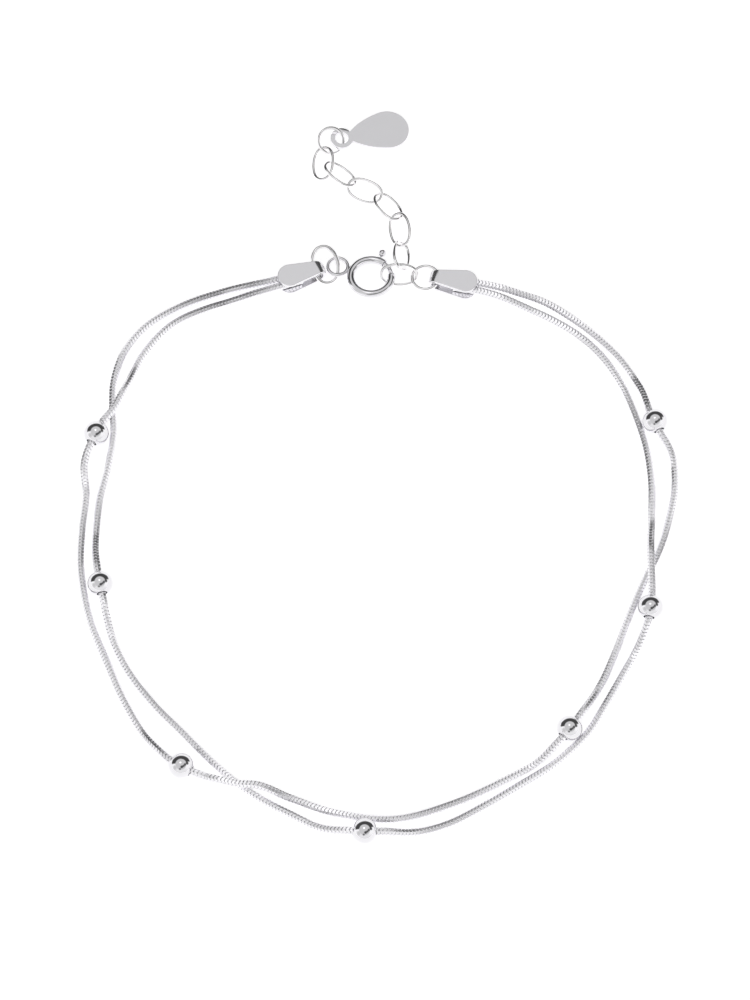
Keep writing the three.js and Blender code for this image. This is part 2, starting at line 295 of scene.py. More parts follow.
# %% Rolled silver sheet
rolled_sheet, tree = new_material("rolled_silver_sheet")
place = add(tree, "ShaderNodeTexCoord").outputs["Object"]
LINE_MM = 0.08
stretched = add(tree, "ShaderNodeMapping", {"Vector": place, "Scale": (0.12, 1, 1)})
lines = add(
    tree,
    "ShaderNodeTexNoise",
    {"Vector": stretched.outputs["Vector"], "Scale": 1 / (LINE_MM * MM), "Detail": 3},
).outputs["Fac"]
relief = add(
    tree, "ShaderNodeBump", {"Height": lines, "Strength": 0.05, "Distance": 0.01 * MM}
)
haze = add(
    tree,
    "ShaderNodeMapRange",
    {"Value": lines, "From Min": 0.3, "From Max": 0.7, "To Min": 0.14, "To Max": 0.2},
)
sheet = add(
    tree,
    "ShaderNodeBsdfPrincipled",
    {
        "Base Color": linear("#F0EFF2"),
        "Metallic": 1.0,
        "Roughness": haze.outputs["Result"],
        "Normal": relief.outputs["Normal"],
    },
)
add(tree, "ShaderNodeOutputMaterial", {"Surface": sheet.outputs["BSDF"]})

# %% [markdown]
# ### Cut plates
# The chain's plates are bright on their cut flats, and the seams get painted shade, a darker
# grey where the grooves lie in shade. A value painted on the plate's corners, 1 in a seam, carries
# that painted shade.

# %% Snake chain plates
cut_plates, tree = new_material("cut_silver_plates")
painted_seam_shade = add(tree, "ShaderNodeAttribute", attribute_name="painted_seam_shade")
place = add(tree, "ShaderNodeTexCoord").outputs["Object"]
GRAIN_MM = 0.25
scale = 1 / (GRAIN_MM * MM)
grain = add(
    tree, "ShaderNodeTexNoise", {"Vector": place, "Scale": scale, "Detail": 2}
).outputs["Fac"]
# Painted shade: corners in a seam are mixed to the darker grey B, standing in for shade in the
# grooves.
tone = add(
    tree,
    "ShaderNodeMix",
    {"Factor": painted_seam_shade.outputs["Fac"], "A": linear("#FAF9FC"), "B": linear("#AEADB2")},
    data_type="RGBA",
)
haze = add(
    tree,
    "ShaderNodeMapRange",
    {"Value": grain, "From Min": 0.3, "From Max": 0.7, "To Min": 0.2, "To Max": 0.3},
)
plates = add(
    tree,
    "ShaderNodeBsdfPrincipled",
    {"Base Color": tone.outputs["Result"], "Metallic": 1.0, "Roughness": haze.outputs["Result"]},
)
add(tree, "ShaderNodeOutputMaterial", {"Surface": plates.outputs["BSDF"]})

# %% [markdown]
# ## Where everything lies
# These sizes and places are those of the solids, from their source. A snake chain's route
# is the line of its middle, seen from above. `BEAD` marks the middle of a bead, and `OVER`
# a place where the chain lies on the other one.

# %% Routes of the two strands
BEAD, OVER = "bead", "over"
ROUTE_A = [
    (14.0, 21.9), (17.2, 20.5), (20.5, 18.4), (23.0, 15.9), (25.1, 12.4), (26.4, 8.9),
    (27.3, 5.5), (27.7, 1.8), (27.6, -2.0), (27.4, -5.3), (27.4, -7.8, OVER),
    (27.2, -11.95, BEAD), (26.2, -15.4), (24.2, -19.1), (22.5, -22.1), (20.7, -25.0),
    (17.4, -28.2), (14.4, -30.2), (10.6, -32.5), (7.0, -34.4), (3.6, -35.3),
    (-1.0, -35.4, BEAD), (-4.9, -35.0), (-8.0, -33.5), (-11.1, -31.8), (-13.4, -30.2),
    (-15.7, -28.1), (-18.8, -24.9), (-21.6, -22.0), (-24.2, -18.5), (-25.9, -14.9),
    (-27.2, -9.4, BEAD), (-27.8, -5.2), (-27.5, 0.0), (-26.8, 3.5), (-26.3, 7.4),
    (-26.5, 10.4), (-26.4, 13.2), (-25.4, 16.5), (-23.2, 19.4), (-19.8, 21.6),
    (-15.9, 23.1), (-12.9, 23.7),
]
ROUTE_B = [
    (14.0, 23.1), (17.0, 22.2), (20.1, 20.2), (23.0, 17.7), (25.1, 15.3), (26.8, 12.3),
    (28.15, 8.3, BEAD), (29.8, 4.9), (30.05, 1.5), (29.3, -2.4), (28.3, -5.5),
    (26.9, -8.5), (25.5, -11.7), (23.5, -16.9), (22.2, -19.8),
    (19.0, -24.75, BEAD), (15.9, -28.0), (12.3, -30.05), (7.5, -32.3), (2.0, -33.85),
    (-4.0, -33.2), (-8.0, -31.8), (-11.2, -30.7), (-13.5, -30.5, OVER),
    (-18.85, -28.65, BEAD), (-22.3, -25.5), (-24.5, -21.8), (-26.4, -17.5),
    (-28.2, -12.9), (-29.2, -7.5), (-29.2, -3.3), (-28.9, 0.5), (-29.15, 3.6),
    (-28.0, 6.95, BEAD), (-26.3, 9.75, OVER), (-25.0, 12.6), (-23.5, 16.1),
    (-20.7, 19.5), (-17.0, 21.4), (-13.2, 22.5),
]

# %% [markdown]
# A bore and a folded cap take their size from the strand inside, with room to spare.

# %% Sizes of the strands, beads and caps
STRAND_D = 0.8  # across the corners of its eight flats
STRAND_GAP = 0.1  # between the two strands in a cap
CROSS_GAP = 0.12  # between two strands where one lies over the other
LIFT_RUN = 4.6  # length over which a lifted strand comes down to the table
LIFT_FLAT = 1.4  # half of the level stretch at the top of a lift
LINE_STEP = 0.2
BEAD_D = 2.5
BEAD_CLEARANCE = 0.12
BORE_D = STRAND_D + 2 * BEAD_CLEARANCE
CAP_LENGTH = 5.0
CAP_WIDE = 2.45
CAP_NARROW = 1.2
CAP_SHEET = 0.4
CAP_CLEARANCE = 0.2
CAP_HEIGHT = 2 * CAP_SHEET + STRAND_D + 2 * CAP_CLEARANCE
STRAND_IN_CAP = 2.4
CAP_RIGHT = {"x": 9.2, "y": 23.75, "heading": 169}
CAP_LEFT = {"x": -8.7, "y": 24.4, "heading": 18}

# %% [markdown]
# ## The line of a strand
# A smooth curve through the points of the route, lifted off the table where the strand
# goes through a bead, over the other strand and into the caps. The curve has the tension
# of a springy wire: the span between two points depends on how far apart they are.

# %% Curve through points


def smooth_through(points, step):
    """Points a step apart on a centripetal Catmull-Rom curve through the given ones."""
    first, last = points[0] * 2 - points[1], points[-1] * 2 - points[-2]
    padded = [first, *points, last]
    line = []
    for p0, p1, p2, p3 in zip(padded, padded[1:], padded[2:], padded[3:]):
        d0, d1, d2 = [math.sqrt((b - a).length) for a, b in ((p0, p1), (p1, p2), (p2, p3))]
        leave = ((p1 - p0) / d0 - (p2 - p0) / (d0 + d1) + (p2 - p1) / d1) * d1
        arrive = ((p2 - p1) / d1 - (p3 - p1) / (d1 + d2) + (p3 - p2) / d2) * d1
        count = max(2, round((p2 - p1).length / step))
        for i in range(count):
            t = i / count
            a, b = 2 * t**3 - 3 * t**2 + 1, t**3 - 2 * t**2 + t
            c, d = 3 * t**2 - 2 * t**3, t**3 - t**2
            line.append(p1 * a + leave * b + p2 * c + arrive * d)
    return [*line, points[-1]]


def cap_lead(cap, side):
    """The two points that lead a strand out of a cap, on one side of its middle."""
    across = side * (STRAND_D + STRAND_GAP) / 2
    reach = CAP_WIDE / 2
    turn = Matrix.Rotation(math.radians(cap["heading"]), 3, "Z")
    along = (STRAND_IN_CAP - reach, -reach - STRAND_D)
    return [turn @ Vector((a, across, 0)) + Vector((cap["x"], cap["y"], 0)) for a in along]


def strand_line(route, side):
    """A strand's middle line in millimetres, and each bead's place and heading."""
    right, left = cap_lead(CAP_RIGHT, side), cap_lead(CAP_LEFT, side)
    lifts = [(p, CAP_HEIGHT / 2) for p in right + left]
    points, beads = list(right), []
    for i, (x, y, *mark) in enumerate(route):
        here = Vector((x, y, 0))
        if mark == [OVER]:
            lifts.append((here, STRAND_D * 1.5 + CROSS_GAP))
        if mark != [BEAD]:
            points.append(here)
            continue
        along = Vector(route[i + 1][:2]) - Vector(route[i - 1][:2])
        along = along.normalized().to_3d() * BEAD_D / 2
        points += [here - along, here, here + along]
        lifts.append((here, BEAD_D / 2))
        beads.append((x, y, math.degrees(math.atan2(along.y, along.x))))
    line = smooth_through(points + left[::-1], LINE_STEP)
    for point in line:
        rises = []
        for centre, height in lifts:
            away = ((point.xy - centre.xy).length - LIFT_FLAT) / LIFT_RUN
            share = (1 + math.cos(math.pi * min(max(away, 0), 1))) / 2
            rises.append((height - STRAND_D / 2) * share)
        point.z = STRAND_D / 2 + max(rises)
    return line, beads


line_a, beads_a = strand_line(ROUTE_A, 1)
line_b, beads_b = strand_line(ROUTE_B, -1)
print("points on the two lines:", len(line_a), len(line_b))

# %% [markdown]
# ## Snake chain
# A snake chain is a row of small cups, each pressed from strip and hooked into the last,
# then filed to eight flats. From outside it is a tube of eight flats, cut across by fine
# zigzag seams about 0.36 mm apart. One cup is modelled from a 16-sided cylinder: its middle
# corners are pulled in until there are eight flats and its ends are narrowed to a seam.
# The seams run in a wave round the chain: their corners are pushed forward and back in
# turn. An array repeats the cup and a curve bends the row.

# %% One cup of the chain
CUP_MM = 0.355
SEAM_DEPTH = 0.045
SEAM_WIDTH = 0.13
WAVE = 0.075  # how far a seam runs forward or back
CORNERS = 16


def turn_of(v):
    """A corner's place round the cup, from 0 to CORNERS."""
    return round(math.atan2(v.co.z, v.co.y) / (2 * math.pi / CORNERS)) % CORNERS


def make_cup(length):
    """One cup of the chain, from x = 0 to its length, in millimetres."""
    bpy.ops.object.select_all(action="DESELECT")
    bpy.ops.mesh.primitive_cylinder_add(
        vertices=CORNERS,
        radius=STRAND_D / 2 * MM,
        depth=length * MM,
        end_fill_type="NOTHING",
        rotation=(0, math.pi / 2, 0),
        location=(length / 2 * MM, 0, 0),
    )
    cup = bpy.context.object
    settle()
    edit(cup)
    for x in (SEAM_WIDTH / 2, length - SEAM_WIDTH / 2):
        bpy.ops.mesh.select_all(action="SELECT")
        bpy.ops.mesh.bisect(plane_co=(x * MM, 0, 0), plane_no=(1, 0, 0), threshold=1e-7)
    flat = math.cos(2 * math.pi / CORNERS)
    pick(cup, "VERT", lambda v: turn_of(v) % 2 == 0)
    bpy.ops.transform.resize(value=(1, flat, flat), center_override=(0, 0, 0))
    narrow = 1 - SEAM_DEPTH / (STRAND_D / 2)
    pick(cup, "VERT", lambda v: min(v.co.x, length * MM - v.co.x) < 1e-6)
    bpy.ops.transform.resize(value=(1, narrow, narrow), center_override=(0, 0, 0))
    for place, shift in ((0, WAVE), (2, -WAVE)):
        pick(cup, "VERT", lambda v: turn_of(v) % 4 == place)
        bpy.ops.transform.translate(value=(shift * MM, 0, 0))
    leave_edit()
    # The seam value is 1 on corners down in a seam, where the plates' material paints shade.
    depth = cup.data.attributes.new("painted_seam_shade", "FLOAT", "POINT")
    seam_below = (STRAND_D / 2 - SEAM_DEPTH / 2) * flat * MM
    for v, value in zip(cup.data.vertices, depth.data):
        value.value = float(math.hypot(v.co.y, v.co.z) < seam_below)
    return cup


# %% [markdown]
# The strand twists a little as it goes round, as the real one does: the flats catch the
# light in turn. The curve carries that twist in its tilt.

# %% Two strands
TWIST_WAVES = 5
TWIST_DEGREES = 13


def make_strand(name, node, line):
    """A snake chain along a line, which stands for the strand's solid."""
    path = bpy.data.curves.new(name + "_line", "CURVE")
    path.dimensions, path.twist_mode = "3D", "Z_UP"
    spline = path.splines.new("POLY")
    spline.points.add(len(line) - 1)
    for i, (corner, point) in enumerate(zip(spline.points, line)):
        corner.co = (*on_table(*point), 1)
        wave = math.sin(2 * math.pi * TWIST_WAVES * i / len(line))
        corner.tilt = math.radians(TWIST_DEGREES * wave)
    carrier = bpy.data.objects.new(name + "_line", path)
    bpy.context.scene.collection.objects.link(carrier)
    length = sum((b - a).length for a, b in zip(line, line[1:]))
    count = round(length / CUP_MM)
    strand = named(make_cup(length / count), name)
    modify(
        strand,
        "ARRAY",
        count=count,
        use_relative_offset=False,
        use_constant_offset=True,
        constant_offset_displace=(length / count * MM, 0, 0),
        use_merge_vertices=True,
        merge_threshold=1e-6,
    )
    modify(strand, "CURVE", object=carrier)
    remove(carrier)
    edit(strand)
    bpy.ops.mesh.select_all(action="SELECT")
    bpy.ops.mesh.fill_holes(sides=CORNERS)
    leave_edit()
    outward(strand)
    strand.data.materials.append(cut_plates)
    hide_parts(node)
    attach(strand, "bracelet")
    print(name, round(length, 1), "mm,", count, "cups,", len(strand.data.polygons), "faces")


make_strand("snake_chain_a", "strand_a", line_a)
make_strand("snake_chain_b", "strand_b", line_b)

# %% [markdown]
# ## Beads
# Each bead is a hollow ball of silver, pressed in two halves and drilled. A fine sphere has
# its poles opened to the size of the drill, and the two holes are bridged by the bore. A
# small bevel gives the drilled edge its burnished rim.

# %% One bead
BEAD_EDGE = 0.05
POLE_SHARE = 0.8  # the drilled edges lie beyond this share of the bead's radius
EDGE_CONTRAST = 8  # a drilled edge has a long bore face on one side, a small one on the other


def is_drilled_edge(edge):
    areas = [face.calc_area() for face in edge.link_faces]
    near_pole = all(abs(v.co.x) > POLE_SHARE * BEAD_D / 2 * MM for v in edge.verts)
    return near_pole and max(areas) > EDGE_CONTRAST * min(areas)


def make_bead():
    bpy.ops.object.select_all(action="DESELECT")
    bpy.ops.mesh.primitive_uv_sphere_add(
        segments=48, ring_count=36, radius=BEAD_D / 2 * MM, rotation=(0, math.pi / 2, 0)
    )
    bead = bpy.context.object
    settle()
    edit(bead)
    pick(bead, "VERT", lambda v: math.hypot(v.co.y, v.co.z) < BORE_D / 2 * MM)
    bpy.ops.mesh.delete(type="VERT")
    pick(bead, "EDGE", lambda e: e.is_boundary)
    bpy.ops.mesh.bridge_edge_loops()
    pick(bead, "EDGE", is_drilled_edge)
    bpy.ops.mesh.bevel(offset=BEAD_EDGE * MM, segments=3)
    leave_edit()
    outward(bead)
    smooth(bead, 50)
    bead.data.materials.append(plated_silver)
    return bead


first_bead = make_bead()
for letter, places in (("a", beads_a), ("b", beads_b)):
    for i, (x, y, heading) in enumerate(places, 1):
        bead = twin(first_bead, f"ball_{letter}{i}")
        set_down(bead, (x, y, BEAD_D / 2), heading=heading)
        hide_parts(f"bead_{letter}{i}")
        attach(bead, "bracelet")
remove(first_bead)

# %% [markdown]
# ## End caps
# A cap is a blank of sheet like a dumbbell, folded in half: the fold holds the jump ring,
# and the two round ends clamp the strands. Here the folded strip is made first, by pushing
# a thin face along, spinning it half a turn and pushing it back. A teardrop block then
# trims it to shape, as a punch would.

# %% The folded strip and the punch
PUNCH_BELOW = 1  # the punch passes the strip on both sides
PUNCH_TALL = 5


def make_folded_strip():
    """A wide strip of sheet folded at the narrow end, its underside on z = 0."""
    bend_x = CAP_LENGTH - CAP_WIDE / 2 - CAP_HEIGHT / 2
    middle = CAP_HEIGHT / 2
    bpy.ops.object.select_all(action="DESELECT")
    bpy.ops.mesh.primitive_plane_add(
        size=MM,
        rotation=(0, math.pi / 2, 0),
        location=(-CAP_WIDE * MM, 0, (CAP_HEIGHT - CAP_SHEET / 2) * MM),
    )
    strip = bpy.context.object
    strip.scale = (CAP_SHEET, 2 * CAP_WIDE, 1)
    settle()
    edit(strip)
    bpy.ops.mesh.select_all(action="SELECT")
    run = (bend_x + CAP_WIDE) * MM
    bpy.ops.mesh.extrude_region_move(TRANSFORM_OT_translate={"value": (run, 0, 0)})
    bpy.ops.mesh.spin(
        steps=20,
        angle=-math.pi,
        center=(bend_x * MM, 0, middle * MM),
        axis=(0, 1, 0),
    )
    bpy.ops.mesh.extrude_region_move(TRANSFORM_OT_translate={"value": (-run, 0, 0)})
    leave_edit()
    outward(strip)
    return strip


def make_punch():
    """The teardrop block that the cap is trimmed by."""
    wide = CAP_WIDE / 2
    tip = CAP_LENGTH - wide
    lean = math.atan2(wide - CAP_NARROW / 2, tip)
    bpy.ops.object.select_all(action="DESELECT")
    bpy.ops.mesh.primitive_circle_add(
        vertices=72, radius=wide * MM, location=(0, 0, -PUNCH_BELOW * MM)
    )
    punch = bpy.context.object
    settle()
    edit(punch)
    pick(punch, "VERT", lambda v: v.co.x > math.sin(lean) * wide * MM + 1e-6)
    bpy.ops.mesh.delete(type="VERT")
    pick(punch, "VERT", lambda v: len(v.link_edges) == 1)
    ends = [v.co.copy() for v in bmesh.from_edit_mesh(punch.data).verts if v.select]
    bpy.ops.mesh.extrude_region_move(
        TRANSFORM_OT_translate={"value": (tip * MM - ends[0].x, 0, 0)}
    )
    squeeze = CAP_NARROW / 2 * MM / abs(ends[0].y)
    bpy.ops.transform.resize(value=(1, squeeze, 1), center_override=(0, 0, 0))
    bpy.ops.mesh.select_all(action="SELECT")
    bpy.ops.mesh.edge_face_add()
    bpy.ops.mesh.extrude_region_move(TRANSFORM_OT_translate={"value": (0, 0, PUNCH_TALL * MM)})
    leave_edit()
    outward(punch)
    return punch


# %% [markdown]
# The punch leaves sharp edges, which tumbling rounds a little. One cap is made and copied,
# and each copy turns to the end of the strands that it holds.

# %% Trim, soften the edges and set both caps down
SHEET_EDGE = 0.07
CAPS = (
    ("end_cap_right", "cap_right", CAP_RIGHT),
    ("end_cap_left", "cap_left", CAP_LEFT),
)
cap = make_folded_strip()
punch = make_punch()
modify(cap, "BOOLEAN", object=punch, operation="INTERSECT", solver="EXACT")
remove(punch)
outward(cap)
soften(cap, SHEET_EDGE, 3, 40)
smooth(cap, 40)
flatten(cap)
cap.data.materials.append(rolled_sheet)
for name, node, spot in CAPS:
    piece = twin(cap, name)
    set_down(piece, (spot["x"], spot["y"], 0), heading=spot["heading"])
    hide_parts(node)
    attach(piece, "bracelet")
remove(cap)

# %% [markdown]
# ## Rings and links
# All of these are round wire bent to a circle or an oval and closed. A Bezier circle pulled
# to the oval's length and width is given the wire's thickness and made a mesh, which keeps
# the wire round all the way, as a stretched torus would not.

# %% Wire rings
RINGS = {
    "ring_left": {
        "node": "jump_ring_left", "length": 4.2, "width": 3.05, "wire": 0.42,
        "at": (-5.08, 26.0, 1.11), "turn": (5, -22.5, 102),
    },
    "ring_right": {
        "node": "jump_ring_right", "length": 3.1, "width": 3.1, "wire": 0.38,
        "at": (5.15, 24.6, 0.95), "turn": (-3, -3, -8),
    },
    "ring_tag": {
        "node": "jump_ring_tag", "length": 3.0, "width": 3.0, "wire": 0.34,
        "at": (-4.55, 40.45, 1.04), "turn": (17, -29, 90),
    },
}
LINK = {"length": 4.0, "width": 2.5, "wire": 0.33}
LINK_PLACES = [
    {"at": (2.45, 24.95, 0.96), "turn": (44, 0, -1)},
    {"at": (2.7, 27.05, 1.22), "turn": (46, 20, 84)},
    {"at": (2.55, 30.2, 0.78), "turn": (-28, 0, 100)},
    {"at": (1.35, 32.95, 0.63), "turn": (22, 4, 126)},
    {"at": (-1.05, 34.8, 0.62), "turn": (-22, 0, 157)},
    {"at": (-3.6, 36.65, 0.78), "turn": (28, -4, 140)},
    {"at": (-5.35, 38.0, 0.62), "turn": (-22, -1, 88)},
]
for i, spot in enumerate(LINK_PLACES, 1):
    RINGS[f"oval_{i}"] = {"node": f"link_{i}", **LINK, **spot}


def make_wire_ring(name, length, width, wire):
    bpy.ops.object.select_all(action="DESELECT")
    bpy.ops.curve.primitive_bezier_circle_add(radius=1)
    ring = bpy.context.object
    bpy.ops.object.mode_set(mode="EDIT")
    bpy.ops.curve.select_all(action="SELECT")
    half = ((length - wire) / 2 * MM, (width - wire) / 2 * MM, 1)
    bpy.ops.transform.resize(value=half, center_override=(0, 0, 0))
    bpy.ops.object.mode_set(mode="OBJECT")
    ring.data.resolution_u = 14
    ring.data.bevel_depth = wire / 2 * MM
    ring.data.bevel_resolution = 4
    bpy.ops.object.convert(target="MESH")
    outward(ring)
    smooth(ring, 60)
    ring.data.materials.append(bright_silver)
    return named(ring, name)


for name, ring in RINGS.items():
    piece = make_wire_ring(name, ring["length"], ring["width"], ring["wire"])
    roll, pitch, heading = ring["turn"]
    set_down(piece, ring["at"], roll, pitch, heading)
    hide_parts(ring["node"])
    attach(piece, "bracelet")
print("wire rings:", len(RINGS))

# %% [markdown]
# ## Clasp
# A spring ring is a tube bent to a circle with a gap. A bolt slides in the tube, pushed
# shut by a spring, and a small knob on the outside draws it back. The tube is a disc spun
# round the clasp's middle, with a bore and a slot cut out of it for the bolt and its lever.

# %% Sizes of the clasp
CLASP = {"at": (-0.4, 24.7, 0.97), "turn": (-6, 0, 0)}
CLASP_D = 5.0
TUBE_D = 0.84
BOLT_D = 0.5
BOLT_CLEARANCE = 0.07
BOLT_STOP = 0.05  # bolt tip to the tube's far end
GAP_FROM = 6  # degrees round the ring, like the angles below
GAP_TO = 50
LEVER_AT = 67
LEVER_RISE = 15
TRAVEL = 40
TAIL = 16
NECK_D = 0.2
KNOB_D = 0.8
KNOB_STANDOFF = 0.08
EYELET_D = 2.45
EYELET_WIRE = 0.4
EYELET_AT = 160
EYELET_SUNK = 0.1
BORE_MARGIN = 4
SLOT_MARGIN = 5
TUBE_EDGE = 0.03
BOLT_EDGE = 0.05
RING_R = (CLASP_D - TUBE_D) / 2


def spun_rod(diameter, start, end, steps):
    """A round rod bent round +Z, from one angle to another in degrees."""
    bpy.ops.object.select_all(action="DESELECT")
    bpy.ops.mesh.primitive_circle_add(
        vertices=20,
        radius=diameter / 2 * MM,
        fill_type="NGON",
        location=(RING_R * MM, 0, 0),
        rotation=(math.pi / 2, 0, 0),
    )
    rod = bpy.context.object
    settle()
    edit(rod)
    bpy.ops.mesh.select_all(action="SELECT")
    bpy.ops.mesh.spin(
        steps=steps, angle=-math.radians(end - start), center=(0, 0, 0), axis=(0, 0, 1)
    )
    leave_edit()
    outward(rod)
    rod.rotation_euler.z = math.radians(start)
    alone(rod)
    settle()
    return rod


# %% [markdown]
# The bore is a rod and the slot a thin plate, each spun round the same middle and then cut
# from the tube. The eyelet is a small ring, let a little way into the tube's outside.

# %% The tube with its bore, slot and eyelet
tube = spun_rod(TUBE_D, GAP_TO, GAP_FROM + 360, 84)
bore_end = LEVER_AT + TAIL + TRAVEL + BORE_MARGIN
bore = spun_rod(BOLT_D + 2 * BOLT_CLEARANCE, GAP_TO - BORE_MARGIN, bore_end, 24)
slot_rise = TUBE_D / 2 * math.sin(math.radians(LEVER_RISE))
bpy.ops.object.select_all(action="DESELECT")
bpy.ops.mesh.primitive_plane_add(size=1, location=(0, 0, 0))
slot = bpy.context.object
slot.scale = ((CLASP_D - RING_R) * MM, (NECK_D + 2 * BOLT_CLEARANCE) * MM, 1)
slot.rotation_euler.x = math.pi / 2
slot.location = ((CLASP_D + RING_R) / 2 * MM, 0, slot_rise * MM)
settle()
edit(slot)
bpy.ops.mesh.select_all(action="SELECT")
slot_sweep = math.radians(TRAVEL + 2 * SLOT_MARGIN)
bpy.ops.mesh.spin(steps=16, angle=-slot_sweep, center=(0, 0, 0), axis=(0, 0, 1))
leave_edit()
outward(slot)
slot.rotation_euler.z = math.radians(LEVER_AT - SLOT_MARGIN)
alone(slot)
settle()
for cutter in (bore, slot):
    modify(tube, "BOOLEAN", object=cutter, operation="DIFFERENCE", solver="EXACT")
remove(bore, slot)
outward(tube)
soften(tube, TUBE_EDGE, 2, 50)

eyelet_out = CLASP_D / 2 + EYELET_D / 2 - EYELET_SUNK
eyelet_turn = math.radians(EYELET_AT)
bpy.ops.object.select_all(action="DESELECT")
bpy.ops.mesh.primitive_torus_add(
    major_segments=48,
    minor_segments=14,
    major_radius=(EYELET_D - EYELET_WIRE) / 2 * MM,
    minor_radius=EYELET_WIRE / 2 * MM,
    location=(
        eyelet_out * math.cos(eyelet_turn) * MM,
        eyelet_out * math.sin(eyelet_turn) * MM,
        0,
    ),
)
eyelet = bpy.context.object
tube.select_set(True)
bpy.context.view_layer.objects.active = tube
bpy.ops.object.join()
smooth(tube, 40)
tube.data.materials.append(plated_silver)
named(tube, "spring_ring")
set_down(tube, CLASP["at"], *CLASP["turn"])
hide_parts("clasp_body")
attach(tube, "bracelet")

# %% [markdown]
# The bolt is a rod of the bore's curve. Its lever leans up a little out of the ring's
# plane, and ends in a turned knob. Bolt and knob are one piece and ride on the body that
# the joint moves.

# %% The bolt with its knob
bolt = spun_rod(BOLT_D, GAP_FROM + math.degrees(BOLT_STOP / RING_R), LEVER_AT + TAIL, 28)
soften(bolt, BOLT_EDGE, 2, 50)
reach = TUBE_D / 2 + KNOB_STANDOFF + KNOB_D / 2
root = Matrix.Rotation(math.radians(LEVER_AT), 3, "Z") @ Vector((RING_R, 0, 0))
outwards = Matrix.Rotation(math.radians(LEVER_AT), 3, "Z") @ (
    Matrix.Rotation(math.radians(-LEVER_RISE), 3, "Y") @ Vector((1, 0, 0))
)
bpy.ops.object.select_all(action="DESELECT")
bpy.ops.mesh.primitive_cylinder_add(
    vertices=16,
    radius=NECK_D / 2 * MM,
    depth=reach * MM,
    location=(root + outwards * reach / 2) * MM,
)
neck = bpy.context.object
neck.rotation_euler = outwards.to_track_quat("Z", "Y").to_euler()
bpy.ops.object.select_all(action="DESELECT")
bpy.ops.mesh.primitive_uv_sphere_add(
    segments=28,
    ring_count=18,
    radius=KNOB_D / 2 * MM,
    location=(root + outwards * reach) * MM,
)
knob = bpy.context.object
for part in (neck, bolt):
    part.select_set(True)
bpy.context.view_layer.objects.active = bolt
bpy.ops.object.join()
settle()
smooth(bolt, 40)
bolt.data.materials.append(plated_silver)
named(bolt, "bolt_and_knob")
set_down(bolt, CLASP["at"], *CLASP["turn"])
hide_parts("clasp_bolt")
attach(bolt, "bolt")

# %% [markdown]
# ## Tag
# The tag is stamped from sheet: a teardrop plate with a ring eye at its narrow end. The
# plate is a circle whose two open ends are drawn on along swelling sides to the neck. The
# eye is a disc joined to it and drilled, and a soft bevel gives the tumbled edge.

# %% The tag
TAG = {"at": (-3.45, 40.75, 0.83), "turn": (-2, 4.7, 14.5)}
TAG_EYE_D = 2.35
TAG_EYE_BORE = 1.4
TAG_WIDTH = 4.4
TAG_LENGTH = 8.3
TAG_NECK = 1.15
TAG_SHEET = 0.45
TAG_ROUND = 100  # degrees of the round end on either side of its tip
TAG_SWELL = 2.3  # how far the sides lead on from it before they turn in
SIDE_STEPS = 12
DRILL_DEPTH = 3 * TAG_SHEET


def disc(radius, depth):
    bpy.ops.object.select_all(action="DESELECT")
    bpy.ops.mesh.primitive_cylinder_add(vertices=64, radius=radius * MM, depth=depth * MM)
    return bpy.context.object


wide = TAG_WIDTH / 2
wide_x = TAG_LENGTH - TAG_EYE_D / 2 - wide
neck_x = math.sqrt((TAG_EYE_D / 2) ** 2 - (TAG_NECK / 2) ** 2)
round_turn = math.radians(TAG_ROUND)
bpy.ops.object.select_all(action="DESELECT")
bpy.ops.mesh.primitive_circle_add(
    vertices=96, radius=wide * MM, location=(wide_x * MM, 0, -TAG_SHEET / 2 * MM)
)
tag = bpy.context.object
settle()
edit(tag)
pick(tag, "VERT", lambda v: v.co.x < (wide_x + math.cos(round_turn) * wide) * MM)
bpy.ops.mesh.delete(type="VERT")
pick(tag, "VERT", lambda v: len(v.link_edges) == 1)
end = [v.co.xy for v in bmesh.from_edit_mesh(tag.data).verts if v.select and v.co.y > 0][0]
swell = end + Vector((-math.sin(round_turn), math.cos(round_turn))) * TAG_SWELL * MM
neck = Vector((neck_x, TAG_NECK / 2)) * MM
here = end
for step in range(1, SIDE_STEPS + 1):
    t = step / SIDE_STEPS
    there = end * (1 - t) ** 2 + swell * 2 * t * (1 - t) + neck * t**2
    bpy.ops.mesh.extrude_region_move(TRANSFORM_OT_translate={"value": (there.x - here.x, 0, 0)})
    bpy.ops.transform.resize(value=(1, there.y / here.y, 1), center_override=(0, 0, 0))
    here = there
bpy.ops.mesh.select_all(action="SELECT")
bpy.ops.mesh.edge_face_add()
bpy.ops.mesh.extrude_region_move(TRANSFORM_OT_translate={"value": (0, 0, TAG_SHEET * MM)})
leave_edit()
outward(tag)
eye = disc(TAG_EYE_D / 2, TAG_SHEET)
drill = disc(TAG_EYE_BORE / 2, DRILL_DEPTH)
modify(tag, "BOOLEAN", object=eye, operation="UNION", solver="EXACT")
modify(tag, "BOOLEAN", object=drill, operation="DIFFERENCE", solver="EXACT")
remove(eye, drill)
outward(tag)
soften(tag, SHEET_EDGE, 3, 40)
smooth(tag, 40)
flatten(tag)
tag.data.materials.append(rolled_sheet)
named(tag, "teardrop_tag")
set_down(tag, TAG["at"], *TAG["turn"])
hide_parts("tag")
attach(tag, "bracelet")

# %% [markdown]
# ## Table
# The table is matt white card, lit from within a little, so that it stays near white in
# the picture as the photographed one does.

